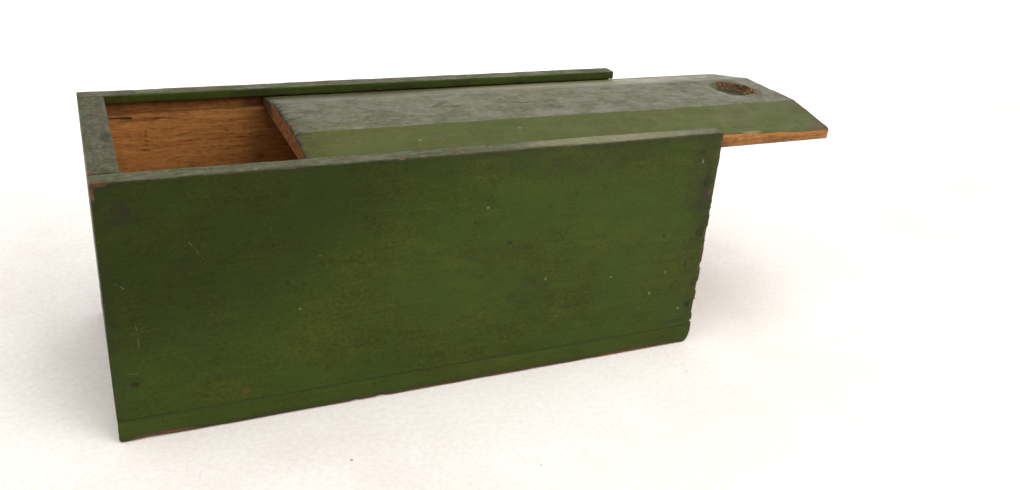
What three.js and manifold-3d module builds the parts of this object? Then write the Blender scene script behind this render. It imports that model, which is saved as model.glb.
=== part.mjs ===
// A small hand-made box with a sliding lid: six boards held together by cut nails.
//
// Units are millimetres and +Z is up. The origin is the middle of the box's underside, +X is the
// way the lid slides open, and the long sides face -Y (front) and +Y (back). The lid is built
// part-way out, LID_OUT past its closed place.

import * as THREE from "three";
import { mergeVertices } from "three/addons/utils/BufferGeometryUtils.js";
import Module from "manifold-3d";

const wasm = await Module();
wasm.setup();

// ---------- driving dimensions ----------
const BOX_LENGTH = 246;
const BOX_WIDTH = 102;
const BOX_HEIGHT = 101.6;
const SIDE_THICKNESS = 7.6;
const STOP_END_THICKNESS = 10; // the full-height end that the closed lid meets
const LOW_END_THICKNESS = 9.4; // the end that the lid slides out over
const BOTTOM_THICKNESS = 9.3;

// The lid's groove, ploughed along the inside of each side.
const LIP_HEIGHT = 3.7;
const GROOVE_HEIGHT = 5;
const GROOVE_DEPTH = 4;

// The lid: a flat field between two long bevels that thin it down to fit the grooves.
const LID_THICKNESS = 9.4;
const LID_EDGE_THICKNESS = 3.6;
const LID_BEVEL_WIDTH = 28.2;
const LID_CORNER_RADIUS = 3;
const LID_CLEARANCE = 0.3; // above, below and at the end of the lid
const LID_SIDE_CLEARANCE = 0.35; // from each edge to the bottom of its groove
const LID_OUT = 62.9;

// The thumb notch: a half-moon cut with a gouge, deepest at its curved wall.
const NOTCH_RADIUS = 12.4;
const NOTCH_DEPTH = 5;
const NOTCH_CENTRE_FROM_END = 23;
const NOTCH_OFF_MIDDLE = 2; // it was cut a little to the back of the lid's centre line
const NOTCH_FLOOR_LENGTH = 6.5;
const NOTCH_START = -2; // where the ramp begins, from the arc's centre

// Cut nails, and the sockets that they leave in the wood.
const NAIL_LENGTH = 29;
const NAIL_HEAD = { width: 4.2, breadth: 3.2, height: 1.1 };
const NAIL_SHANK = { width: 2.6, tip: 1.2, breadth: 1.6 };
const NAIL_SUNK = 0.25; // from the wood's surface down to the head
const SOCKET_GAP = 0.3;

const ARRIS_RADIUS = 0.7; // the softened long edges of a board
const WORN_CORNER_RADIUS = 5; // the bottom board's lower corners at the lid's open end
const BOTTOM_CORNER_RADIUS = 1.5; // its lower corners at the stop end
const ARC_SEGMENTS = 4;
const NOTCH_SEGMENTS = 28;

// ---------- places worked out from them ----------
const HALF_LENGTH = BOX_LENGTH / 2;
const HALF_WIDTH = BOX_WIDTH / 2;
const INNER_HALF_WIDTH = HALF_WIDTH - SIDE_THICKNESS;
const GROOVE_TOP = BOX_HEIGHT - LIP_HEIGHT;
const GROOVE_FLOOR = GROOVE_TOP - GROOVE_HEIGHT;
const LOW_END_TOP = GROOVE_FLOOR - LID_CLEARANCE;
const LID_UNDERSIDE = GROOVE_FLOOR + LID_CLEARANCE;
const LID_LENGTH = BOX_LENGTH - STOP_END_THICKNESS - LID_CLEARANCE;
const LID_HALF_WIDTH = INNER_HALF_WIDTH + GROOVE_DEPTH - LID_SIDE_CLEARANCE;
const LID_PULL_END = HALF_LENGTH + LID_OUT;

// ---------- materials ----------
function greenPaint() {
  return new THREE.MeshStandardMaterial({ color: 0x44552a, roughness: 0.5, metalness: 0 });
}

function rustyIron() {
  return new THREE.MeshStandardMaterial({ color: 0x3a2c22, roughness: 0.8, metalness: 0.6 });
}

// ---------- solids ----------
// A closed three.js geometry as a manifold-3d solid, for cutting and joining.
function toSolid(geometry) {
  const bare = geometry.index ? geometry.toNonIndexed() : geometry.clone();
  bare.deleteAttribute("normal");
  bare.deleteAttribute("uv");
  const merged = mergeVertices(bare, 1e-4);
  return new wasm.Manifold(
    new wasm.Mesh({
      numProp: 3,
      vertProperties: merged.attributes.position.array,
      triVerts: new Uint32Array(merged.index.array),
    }),
  );
}

function toGeometry(solid) {
  const made = solid.getMesh();
  const geometry = new THREE.BufferGeometry();
  geometry.setAttribute("position", new THREE.BufferAttribute(made.vertProperties, 3));
  geometry.setIndex(new THREE.BufferAttribute(made.triVerts, 1));
  geometry.computeVertexNormals();
  return geometry;
}

// A box given by its lowest and highest corners.
function block(low, high) {
  const size = high.map((value, i) => value - low[i]);
  const middle = high.map((value, i) => (value + low[i]) / 2);
  return toSolid(new THREE.BoxGeometry(...size).translate(...middle));
}

// An outline whose corners are points [a, b, radius]: a radius of 0 is a sharp corner.
function outline(corners) {
  const shape = new THREE.Shape();
  corners.forEach(([a, b, radius], i) => {
    const here = new THREE.Vector2(a, b);
    const before = new THREE.Vector2(...corners.at(i - 1).slice(0, 2));
    const after = new THREE.Vector2(...corners[(i + 1) % corners.length].slice(0, 2));
    const start = here.clone().add(before.sub(here).setLength(radius));
    const end = here.clone().add(after.sub(here).setLength(radius));
    if (i === 0) shape.moveTo(start.x, start.y);
    else shape.lineTo(start.x, start.y);
    if (radius > 0) shape.quadraticCurveTo(here.x, here.y, end.x, end.y);
  });
  shape.closePath();
  return shape;
}

// An outline in the YZ plane swept along X from one place to another.
function sweepAlongX(shape, from, to) {
  const geometry = new THREE.ExtrudeGeometry(shape, {
    depth: to - from,
    bevelEnabled: false,
    curveSegments: ARC_SEGMENTS,
  });
  const turn = new THREE.Matrix4().set(0, 0, 1, from, 1, 0, 0, 0, 0, 1, 0, 0, 0, 0, 0, 1);
  return toSolid(geometry.applyMatrix4(turn));
}

// An outline in the XZ plane swept along Y from one place to another.
function sweepAlongY(shape, from, to) {
  const geometry = new THREE.ExtrudeGeometry(shape, {
    depth: to - from,
    bevelEnabled: false,
    curveSegments: ARC_SEGMENTS,
  });
  const turn = new THREE.Matrix4().set(1, 0, 0, 0, 0, 0, -1, to, 0, 1, 0, 0, 0, 0, 0, 1);
  return toSolid(geometry.applyMatrix4(turn));
}

// An outline in the XY plane swept up from one height to another.
function sweepUp(shape, from, to, curveSegments = ARC_SEGMENTS) {
  const geometry = new THREE.ExtrudeGeometry(shape, {
    depth: to - from,
    bevelEnabled: false,
    curveSegments,
  });
  return toSolid(geometry.translate(0, 0, from));
}

// ---------- nails ----------
// A nail stands head-down on the XY plane with its point up. The head's top is at z = 0.
function nailSolid(spare) {
  const head = block(
    [-NAIL_HEAD.width / 2 - spare, -NAIL_HEAD.breadth / 2 - spare, -spare],
    [NAIL_HEAD.width / 2 + spare, NAIL_HEAD.breadth / 2 + spare, NAIL_HEAD.height + spare],
  );
  const shankWidth = NAIL_SHANK.width / 2 + spare;
  const tipWidth = NAIL_SHANK.tip / 2 + spare;
  const taper = outline([
    [-shankWidth, NAIL_HEAD.height / 2, 0],
    [shankWidth, NAIL_HEAD.height / 2, 0],
    [tipWidth, NAIL_LENGTH + spare, 0],
    [-tipWidth, NAIL_LENGTH + spare, 0],
  ]);
  const halfBreadth = NAIL_SHANK.breadth / 2 + spare;
  return head.add(sweepAlongY(taper, -halfBreadth, halfBreadth));
}

// The opening from the wood's surface down to the nail, which lets its head be seen.
function socketSolid() {
  const mouth = block(
    [-NAIL_HEAD.width / 2 - SOCKET_GAP, -NAIL_HEAD.breadth / 2 - SOCKET_GAP, -1],
    [NAIL_HEAD.width / 2 + SOCKET_GAP, NAIL_HEAD.breadth / 2 + SOCKET_GAP, 0],
  );
  return nailSolid(SOCKET_GAP).add(mouth);
}

// Nail places: a name, the head's middle, and which way the nail was driven.
const DRIVEN = {
  towardsBack: new THREE.Euler(-Math.PI / 2, 0, 0),
  towardsFront: new THREE.Euler(Math.PI / 2, 0, 0),
  up: new THREE.Euler(0, 0, 0),
  upTurned: new THREE.Euler(0, 0, Math.PI / 2),
};

const STOP_END_NAIL_X = -HALF_LENGTH + 7.2;
const LOW_END_NAIL_X = HALF_LENGTH - 4.7;
const STOP_END_NAIL_HEIGHTS = { top: 90, low: 24 };
const LOW_END_NAIL_HEIGHTS = { top: 79, middle: 56, low: 20 };
const BOTTOM_NAILS_PER_SIDE = 4;
const BOTTOM_NAIL_SPREAD = 196; // from the first to the last along a side
const BOTTOM_NAIL_INSET = 3.8; // from the side's outer face
const BOTTOM_END_NAIL_Y = 11;

const nails = [];

function addWallNails(end, x, heights) {
  for (const [level, z] of Object.entries(heights)) {
    const y = HALF_WIDTH - NAIL_SUNK;
    nails.push({ name: `nail_front_${end}_${level}`, at: [x, -y, z], driven: DRIVEN.towardsBack });
    nails.push({ name: `nail_back_${end}_${level}`, at: [x, y, z], driven: DRIVEN.towardsFront });
  }
}

addWallNails("stop_end", STOP_END_NAIL_X, STOP_END_NAIL_HEIGHTS);
addWallNails("low_end", LOW_END_NAIL_X, LOW_END_NAIL_HEIGHTS);

for (const [side, sign] of [["front", -1], ["back", 1]]) {
  for (let i = 0; i < BOTTOM_NAILS_PER_SIDE; i++) {
    const x = BOTTOM_NAIL_SPREAD * (i / (BOTTOM_NAILS_PER_SIDE - 1) - 0.5);
    const y = sign * (HALF_WIDTH - BOTTOM_NAIL_INSET);
    nails.push({ name: `nail_bottom_${side}_${i + 1}`, at: [x, y, NAIL_SUNK], driven: DRIVEN.up });
  }
  for (const [end, x] of [["stop_end", STOP_END_NAIL_X], ["low_end", LOW_END_NAIL_X]]) {
    const at = [x, sign * BOTTOM_END_NAIL_Y, NAIL_SUNK];
    nails.push({ name: `nail_bottom_${end}_${side}`, at, driven: DRIVEN.upTurned });
  }
}

function placement(nail) {
  const turn = new THREE.Quaternion().setFromEuler(nail.driven);
  return new THREE.Matrix4().compose(
    new THREE.Vector3(...nail.at),
    turn,
    new THREE.Vector3(1, 1, 1),
  );
}

const sockets = wasm.Manifold.union(
  nails.map((nail) => socketSolid().transform(placement(nail).toArray())),
);

// ---------- boards ----------
// A side, with the lid's groove in its inner face. The profile is drawn for the front side.
function sideBoard(sign) {
  const outer = -HALF_WIDTH;
  const inner = -INNER_HALF_WIDTH;
  const grooveWall = inner - GROOVE_DEPTH;
  const profile = [
    [outer, BOTTOM_THICKNESS, 0],
    [inner, BOTTOM_THICKNESS, 0],
    [inner, GROOVE_FLOOR, 0],
    [grooveWall, GROOVE_FLOOR, 0],
    [grooveWall, GROOVE_TOP, 0],
    [inner, GROOVE_TOP, 0],
    [inner, BOX_HEIGHT, ARRIS_RADIUS],
    [outer, BOX_HEIGHT, ARRIS_RADIUS],
  ];
  const board = sweepAlongX(outline(profile), -HALF_LENGTH, HALF_LENGTH);
  return sign < 0 ? board : board.mirror([0, 1, 0]);
}

// An end, standing between the sides.
function endBoard(from, to, top, radius) {
  const profile = [
    [from, BOTTOM_THICKNESS, 0],
    [to, BOTTOM_THICKNESS, 0],
    [to, top, radius],
    [from, top, radius],
  ];
  return sweepAlongY(outline(profile), -INNER_HALF_WIDTH, INNER_HALF_WIDTH);
}

function bottomBoard() {
  const profile = [
    [-HALF_LENGTH, 0, BOTTOM_CORNER_RADIUS],
    [HALF_LENGTH, 0, WORN_CORNER_RADIUS],
    [HALF_LENGTH, BOTTOM_THICKNESS, 0],
    [-HALF_LENGTH, BOTTOM_THICKNESS, 0],
  ];
  return sweepAlongY(outline(profile), -HALF_WIDTH, HALF_WIDTH);
}

// The notch's half-moon, seen from above, meeting its ramp, seen from the side.
function thumbNotch() {
  const centre = LID_PULL_END - NOTCH_CENTRE_FROM_END;
  const surface = LID_UNDERSIDE + LID_THICKNESS;
  const over = surface + 1;
  const chord = centre + NOTCH_START;
  const wall = centre + NOTCH_RADIUS;
  const moon = new THREE.Shape();
  const sweep = Math.acos(NOTCH_START / NOTCH_RADIUS);
  moon.absarc(centre, NOTCH_OFF_MIDDLE, NOTCH_RADIUS, -sweep, sweep, false);
  moon.closePath();
  const ramp = outline([
    [chord, surface, 0],
    [wall - NOTCH_FLOOR_LENGTH, surface - NOTCH_DEPTH, 0],
    [wall + 1, surface - NOTCH_DEPTH, 0],
    [wall + 1, over, 0],
    [chord, over, 0],
  ]);
  const walls = sweepUp(moon, surface - NOTCH_DEPTH - 1, over, NOTCH_SEGMENTS);
  const reach = NOTCH_RADIUS + NOTCH_OFF_MIDDLE + 1;
  return walls.intersect(sweepAlongY(ramp, -reach, reach));
}

function slidingLid() {
  const surface = LID_UNDERSIDE + LID_THICKNESS;
  const edgeTop = LID_UNDERSIDE + LID_EDGE_THICKNESS;
  const fieldHalf = LID_HALF_WIDTH - LID_BEVEL_WIDTH;
  const profile = [
    [-LID_HALF_WIDTH, LID_UNDERSIDE, ARRIS_RADIUS],
    [LID_HALF_WIDTH, LID_UNDERSIDE, ARRIS_RADIUS],
    [LID_HALF_WIDTH, edgeTop, ARRIS_RADIUS],
    [fieldHalf, surface, 0],
    [-fieldHalf, surface, 0],
    [-LID_HALF_WIDTH, edgeTop, ARRIS_RADIUS],
  ];
  const stopEnd = LID_PULL_END - LID_LENGTH;
  const board = sweepAlongX(outline(profile), stopEnd, LID_PULL_END);
  const plan = outline([
    [stopEnd - 1, -HALF_WIDTH, 0],
    [LID_PULL_END - 0.001, -LID_HALF_WIDTH, LID_CORNER_RADIUS],
    [LID_PULL_END - 0.001, LID_HALF_WIDTH, LID_CORNER_RADIUS],
    [stopEnd - 1, HALF_WIDTH, 0],
  ]);
  return board.intersect(sweepUp(plan, 0, BOX_HEIGHT * 2)).subtract(thumbNotch());
}

// ---------- assembly ----------
const box = new THREE.Group();

function addPiece(name, geometry, material) {
  const mesh = new THREE.Mesh(geometry, material);
  mesh.name = name;
  box.add(mesh);
  return mesh;
}

const boards = {
  front_side: sideBoard(-1),
  back_side: sideBoard(1),
  stop_end: endBoard(
    -HALF_LENGTH,
    -HALF_LENGTH + STOP_END_THICKNESS,
    BOX_HEIGHT,
    ARRIS_RADIUS,
  ),
  low_end: endBoard(
    HALF_LENGTH - LOW_END_THICKNESS,
    HALF_LENGTH,
    LOW_END_TOP,
    ARRIS_RADIUS,
  ),
  bottom_board: bottomBoard(),
};

for (const [name, board] of Object.entries(boards)) {
  addPiece(name, toGeometry(board.subtract(sockets)), greenPaint());
}

addPiece("sliding_lid", toGeometry(slidingLid()), greenPaint());

for (const nail of nails) {
  const mesh = addPiece(nail.name, toGeometry(nailSolid(0)), rustyIron());
  mesh.position.set(...nail.at);
  mesh.rotation.copy(nail.driven);
}

export default box;
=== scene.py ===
"""The looks of an old painted sliding-lid box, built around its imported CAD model.

Meshes are worked out in millimetres, in the model's own frame (+X along the box, +Z up), and are
turned into metres as they are made. Each board is swept along its grain from its section, with
worn arrises, ragged ends and a hand-planed surface, and stands for its CAD node.
"""

import itertools
import math

import bmesh
import bpy
import numpy as np
from mathutils import Matrix, Vector


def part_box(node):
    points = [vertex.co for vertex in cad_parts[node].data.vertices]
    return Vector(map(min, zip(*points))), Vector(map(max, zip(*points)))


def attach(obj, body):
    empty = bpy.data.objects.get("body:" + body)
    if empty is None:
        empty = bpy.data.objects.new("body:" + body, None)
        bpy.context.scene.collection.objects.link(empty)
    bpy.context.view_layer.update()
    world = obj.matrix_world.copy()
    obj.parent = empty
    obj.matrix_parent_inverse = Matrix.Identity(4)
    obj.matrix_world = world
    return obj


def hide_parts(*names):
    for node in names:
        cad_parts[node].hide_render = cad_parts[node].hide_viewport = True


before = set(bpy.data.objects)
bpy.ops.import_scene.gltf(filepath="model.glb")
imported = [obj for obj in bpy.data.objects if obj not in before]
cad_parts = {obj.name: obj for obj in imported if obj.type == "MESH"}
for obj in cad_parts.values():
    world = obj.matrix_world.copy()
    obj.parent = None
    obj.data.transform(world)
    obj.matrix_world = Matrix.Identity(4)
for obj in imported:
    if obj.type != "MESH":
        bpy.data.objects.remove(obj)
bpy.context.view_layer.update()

MM = 0.001
ALONG_X, ALONG_Y = 0, 1

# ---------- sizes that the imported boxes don't give ----------
GROOVE_DEPTH = 4.0
GROOVE_HEIGHT = 5.0
LIP_HEIGHT = 3.7
LID_EDGE_THICKNESS = 3.6
LID_BEVEL_WIDTH = 28.2
LID_CORNER_RADIUS = 3.0
NOTCH_RADIUS = 11.7
NOTCH_DEPTH = 3.4
NOTCH_CENTRE_FROM_END = 21.2
NOTCH_OFF_MIDDLE = 3.0
NOTCH_START = -11.0
NOTCH_RAMP_LENGTH = 19.0
NOTCH_SOFT_RIM = 5.5
NOTCH_RAMP_WAY = math.radians(20)

ARC_POINTS = 5
END_POINTS = 5


def node_box(node):
    """A CAD node's lowest and highest corners in millimetres."""
    low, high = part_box(node)
    return np.array(low) / MM, np.array(high) / MM


# ---------- noise for shapes ----------
def lattice(x, y, z, seed):
    mixed = (x * 374761393 + y * 668265263 + z * 2246822519 + seed * 3266489917) & 0xFFFFFFFF
    mixed = ((mixed ^ (mixed >> 13)) * 1274126177) & 0xFFFFFFFF
    return ((mixed ^ (mixed >> 16)) & 0xFFFFFF) / 0xFFFFFF


def noise(points, size, seed):
    """Smooth noise from -1 to 1. Its features are `size` millimetres across, on each axis."""
    place = points / np.asarray(size, float)
    cell = np.floor(place).astype(np.int64)
    part = place - cell
    part = part * part * (3 - 2 * part)
    total = np.zeros(points.shape[:-1])
    for corner in itertools.product((0, 1), repeat=3):
        weight = np.prod(np.where(np.array(corner) == 1, part, 1 - part), axis=-1)
        total += weight * lattice(*[cell[..., i] + corner[i] for i in range(3)], seed)
    return total * 2 - 1


def smooth_step(value, low, high):
    t = np.clip((value - low) / (high - low), 0, 1)
    return t * t * (3 - 2 * t)


def spot(points, centre, radii, seed=0, ragged=0.25):
    """1 in the middle of an uneven spot, falling to 0 at its rim."""
    offset = (points - np.array(centre)) / np.array(radii)
    reach = np.linalg.norm(offset, axis=-1)
    reach = reach + ragged * noise(points, np.array(radii) * 0.6, seed)
    return 1 - smooth_step(reach, 0.55, 1.0)


# ---------- swept boards ----------
def graded(start, end, step, fine_spots=(), fine_step=0.45, fine_reach=4.0):
    """Places from start to end, closer together near the fine spots."""
    places, here = [start], start
    direction = 1 if end > start else -1
    while True:
        near = any(abs(here - spot_at) < fine_reach for spot_at in fine_spots)
        here += direction * (fine_step if near else step)
        if (end - here) * direction < step * 0.5:
            break
        places.append(here)
    return np.array(places + [end])


def end_stations(start, end, round_radius, step, fine_spots=(), fine_step=0.45, fine_reach=4.0):
    """Stations along a board, and how far its section draws in at each for the rounded ends."""
    angles = np.linspace(math.pi / 2, 0, END_POINTS)
    from_end = round_radius * (1 - np.sin(angles))
    inset = round_radius * (1 - np.cos(angles))
    middle = graded(start + round_radius, end - round_radius, step, fine_spots, fine_step, fine_reach)
    stations = np.concatenate([start + from_end, middle[1:-1], end - from_end[::-1]])
    insets = np.concatenate([inset, np.zeros(len(middle) - 2), inset[::-1]])
    return stations, insets


def section_loops(corners, radii, insets, fractions):
    """Section outlines with rounded corners, one for each station.

    corners is (stations, corners, 2), counter-clockwise, and radii is (stations, corners).
    """
    count = corners.shape[1]
    points, normals, sharp = [], [], []
    edge = np.roll(corners, -1, axis=1) - corners
    length = np.linalg.norm(edge, axis=-1, keepdims=True)
    edge = edge / length
    outward = np.stack([edge[..., 1], -edge[..., 0]], axis=-1)
    starts, ends = [None] * count, [None] * count
    arcs = []
    for i in range(count):
        n_in, n_out = outward[:, i - 1], outward[:, i]
        turn = edge[:, i - 1, 0] * edge[:, i, 1] - edge[:, i - 1, 1] * edge[:, i, 0]
        side = np.sign(turn)[:, None]
        radius = np.maximum(radii[:, i], insets * 1.02)[:, None]
        dot = np.sum(n_in * n_out, axis=-1, keepdims=True)
        centre = corners[:, i] - side * radius * (n_in + n_out) / (1 + dot)
        crest = np.clip(turn, 0, 1)
        arc = []
        for t in np.linspace(0, 1, ARC_POINTS):
            normal = n_in * (1 - t) + n_out * t
            normal = normal / np.linalg.norm(normal, axis=-1, keepdims=True)
            arc.append((centre + side * radius * normal, normal, crest * 4 * t * (1 - t)))
        arcs.append(arc)
        ends[i - 1] = arc[0][0]
        starts[i] = arc[-1][0]
    for i in range(count):
        for place, normal, crest in arcs[i]:
            points.append(place)
            normals.append(normal)
            sharp.append(crest)
        for t in fractions[i]:
            points.append(starts[i] * (1 - t) + ends[i] * t)
            normals.append(outward[:, i])
            sharp.append(np.zeros(len(corners)))
    points = np.stack(points, axis=1)
    normals = np.stack(normals, axis=1)
    at_end = smooth_step(insets / (insets.max() + 1e-9), 0.0, 0.2)
    arris = np.maximum(np.stack(sharp, axis=1), at_end[:, None])
    return points - normals * insets[:, None, None], normals, arris


def sweep(section, stations, along):
    """Places and normals in the model's frame for section loops swept along X or along Y."""
    loops, normals, arris = section
    grid = np.zeros(loops.shape[:2] + (3,))
    facing = np.zeros_like(grid)
    first, second = (1, 2) if along == ALONG_X else (0, 2)
    grid[..., along] = stations[:, None]
    grid[..., first], grid[..., second] = loops[..., 0], loops[..., 1]
    facing[..., first], facing[..., second] = normals[..., 0], normals[..., 1]
    return grid, facing, arris


def board_object(name, grid, layers, cap_layers):
    """A closed mesh from swept rings, with a value per face corner for each named layer."""
    rings, around = grid.shape[:2]
    index = np.arange(rings * around).reshape(rings, around)
    quads = np.stack(
        [index[:-1], np.roll(index, -1, 1)[:-1], np.roll(index, -1, 1)[1:], index[1:]], axis=-1
    ).reshape(-1, 4)
    caps = [index[0][::-1].tolist(), index[-1].tolist()]
    mesh = bpy.data.meshes.new(name)
    mesh.from_pydata((grid.reshape(-1, 3) * MM).tolist(), [], quads.tolist() + caps)
    mesh.update()
    corner_vertex = np.zeros(len(mesh.loops), np.int64)
    mesh.loops.foreach_get("vertex_index", corner_vertex)
    first_cap_corner = len(quads) * 4
    for layer, values in layers.items():
        corners = values.reshape(-1)[corner_vertex]
        corners[first_cap_corner:] = cap_layers.get(layer, 0.0)
        attribute = mesh.attributes.new(layer, "FLOAT", "CORNER")
        attribute.data.foreach_set("value", corners.astype(np.float32))
    smooth = np.ones(len(mesh.polygons), bool)
    smooth[-2:] = False
    mesh.polygons.foreach_set("use_smooth", smooth)
    fix = bmesh.new()
    fix.from_mesh(mesh)
    bmesh.ops.recalc_face_normals(fix, faces=fix.faces)
    fix.to_mesh(mesh)
    fix.free()
    piece = bpy.data.objects.new(name, mesh)
    bpy.context.scene.collection.objects.link(piece)
    return piece


def even_fractions(corners, step, fine_heights=(), fine_step=0.5):
    """Places along each side of a section, as shares of that side's length."""
    shares = []
    for here, after in zip(corners, np.roll(corners, -1, axis=0)):
        length = np.linalg.norm(after - here)
        if length < step * 1.5:
            shares.append(np.array([0.25, 0.5, 0.75]) if length > 2 else np.array([0.5]))
            continue
        runs_up = abs(after[1] - here[1]) > 0.9 * length
        spots = [abs(z - here[1]) for z in fine_heights] if runs_up else []
        places = graded(0.0, length, step, spots, fine_step)
        shares.append(places[1:-1] / length)
    return shares


def repeat_corners(corners, count):
    return np.repeat(np.array(corners, float)[None], count, axis=0)


def kept_inside(points, low, high):
    """Points moved back to the board's own CAD box where they stand out of it."""
    return np.clip(points, low, high)


def planed(points, seed, along, depth=0.10):
    """The waves that a hand plane and years of drying leave in a board's face."""
    long_size = [9.0, 9.0, 9.0]
    long_size[along] = 70.0
    fine_size = [2.2, 2.2, 2.2]
    fine_size[along] = 26.0
    return depth * noise(points, long_size, seed) + 0.3 * depth * noise(points, fine_size, seed + 1)


def nail_spots():
    """Each nail's head: which node it is, the head's middle and which way it faces."""
    found = []
    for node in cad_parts:
        if not node.startswith("nail_"):
            continue
        low, high = node_box(node)
        middle = (low + high) / 2
        lengths = high - low
        way = int(np.argmax(lengths))
        outer = low if abs(low[way]) > abs(high[way]) or way == 2 else high
        middle[way] = outer[way]
        facing = np.zeros(3)
        facing[way] = -1.0 if way == 2 else math.copysign(1.0, middle[way])
        found.append((node, middle, facing))
    return sorted(found, key=lambda item: item[0])


NAILS = nail_spots()


def dimples(points, facing):
    """How far the wood is crushed in round each nail's head."""
    depth = np.zeros(points.shape[:-1])
    for _, middle, way in NAILS:
        reach = np.linalg.norm(points - middle, axis=-1)
        level = np.clip(facing @ way, 0, 1)
        depth += level * (0.26 * (1 - smooth_step(reach, 1.9, 3.2)))
    return depth


def nail_stain(points):
    stain = np.zeros(points.shape[:-1])
    for number, (_, middle, _) in enumerate(NAILS):
        stain = np.maximum(stain, spot(points, middle, (4.6, 4.6, 4.6), 40 + number, 0.3))
    return stain


def ragged_end(points, low, high, bites, seed, amount, through):
    """Moves the X ends of a board in where they are chipped. bites are (place, size, depth).

    The damage runs through the board along the axis `through`.
    """
    along = ALONG_X
    at_low = 1 - smooth_step(points[..., along] - low, 0.0, 4.0)
    at_high = 1 - smooth_step(high - points[..., along], 0.0, 4.0)
    coarse, fine = [5.0] * 3, [1.8] * 3
    coarse[through], fine[through] = 16.0, 9.0
    nibbles = smooth_step(noise(points, fine, seed + 1), 0.20, 0.42)
    crumbled = amount * (0.4 * np.abs(noise(points, coarse, seed)) + 0.8 * nibbles)
    taken = crumbled.copy()
    for place, size, depth in bites:
        taken = taken + depth * smooth_step(spot(points, place, size, seed + 2, 0.25), 0.2, 0.55)
    moved = points.copy()
    moved[..., along] += 0.4 * crumbled * at_low - taken * at_high
    return moved


# ---------- materials ----------
def put(tree, kind, inputs=None, **settings):
    made = tree.nodes.new(kind)
    for key, value in settings.items():
        setattr(made, key, value)
    for key, value in (inputs or {}).items():
        if isinstance(value, bpy.types.NodeSocket):
            tree.links.new(value, made.inputs[key])
        else:
            made.inputs[key].default_value = value
    return made


def calc(tree, operation, *values):
    return put(tree, "ShaderNodeMath", dict(enumerate(values)), operation=operation).outputs[0]


def vector_calc(tree, operation, *values):
    return put(tree, "ShaderNodeVectorMath", dict(enumerate(values)), operation=operation).outputs


def ramp(tree, value, low, high, to_low=0.0, to_high=1.0):
    inputs = {0: value, 1: low, 2: high, 3: to_low, 4: to_high}
    return put(tree, "ShaderNodeMapRange", inputs, interpolation_type="SMOOTHSTEP").outputs[0]


def mix(tree, factor, first, second, blend="MIX"):
    made = put(tree, "ShaderNodeMix", data_type="RGBA", blend_type=blend)
    for socket, value in ((made.inputs[0], factor), (made.inputs[6], first), (made.inputs[7], second)):
        if isinstance(value, bpy.types.NodeSocket):
            tree.links.new(value, socket)
        elif socket.type == "RGBA":
            socket.default_value = (*value, 1.0)
        else:
            socket.default_value = value
    return made.outputs[2]


def mix_value(tree, factor, first, second):
    return put(tree, "ShaderNodeMix", {0: factor, 2: first, 3: second}).outputs[0]


def colours(tree, value, stops):
    made = put(tree, "ShaderNodeValToRGB", {0: value})
    elements = made.color_ramp.elements
    while len(elements) < len(stops):
        elements.new(0.5)
    for element, (place, colour) in zip(elements, stops):
        element.position = place
        element.color = (*colour, 1.0)
    return made.outputs[0]


def weighted(tree, *pairs):
    """The sum of several values, each times its weight."""
    total = 0.0
    for value, weight in pairs:
        total = calc(tree, "MULTIPLY_ADD", value, weight, total)
    return total


def grain_size(along, length, across):
    size = [across, across, across]
    size[along] = length
    return size


def texture_noise(tree, place, size, detail=3.0, roughness=0.5, seed=0.0):
    """Noise from 0 to 1 whose features are `size` millimetres across, on each axis."""
    inputs = {
        "Vector": place,
        "Location": (seed, seed * 1.7, seed * 0.6),
        "Scale": [1 / (s * MM) for s in size],
    }
    scaled = put(tree, "ShaderNodeMapping", inputs).outputs[0]
    settings = {"Vector": scaled, "Scale": 1.0, "Detail": detail, "Roughness": roughness}
    return put(tree, "ShaderNodeTexNoise", settings).outputs[0]


def specks(tree, place, spacing, reach, share, seed):
    """Small specks of mixed sizes: 1 inside a speck. `share` of the cells hold one."""
    inputs = {"Vector": place, "Location": (seed,) * 3, "Scale": [1 / (spacing * MM)] * 3}
    scaled = put(tree, "ShaderNodeMapping", inputs).outputs[0]
    cells = put(tree, "ShaderNodeTexVoronoi", {"Vector": scaled, "Scale": 1.0})
    chance = put(tree, "ShaderNodeSeparateColor", {0: cells.outputs["Color"]})
    size = calc(tree, "MULTIPLY", chance.outputs[1], reach)
    inside = calc(tree, "LESS_THAN", cells.outputs["Distance"], size)
    return calc(tree, "MULTIPLY", inside, calc(tree, "LESS_THAN", chance.outputs[0], share))


def blots(tree, place, seed, *marks):
    """1 inside any of the small uneven marks, each given as its middle and its radii."""
    wobble = put(
        tree, "ShaderNodeTexNoise", {"Vector": place, "Scale": 900.0 + seed, "Detail": 3.0}
    ).outputs["Color"]
    wobble = vector_calc(tree, "MULTIPLY_ADD", wobble, (1.4 * MM,) * 3, (-0.7 * MM,) * 3)[0]
    warped = vector_calc(tree, "ADD", place, wobble)[0]
    mask = 0.0
    for middle, radii in marks:
        offset = vector_calc(tree, "SUBTRACT", warped, [m * MM for m in middle])[0]
        shape = vector_calc(tree, "MULTIPLY", offset, [1 / (r * MM) for r in radii])[0]
        reach = vector_calc(tree, "LENGTH", shape)["Value"]
        mask = calc(tree, "MAXIMUM", mask, ramp(tree, reach, 0.65, 1.1, 1.0, 0.0))
    return mask


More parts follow.
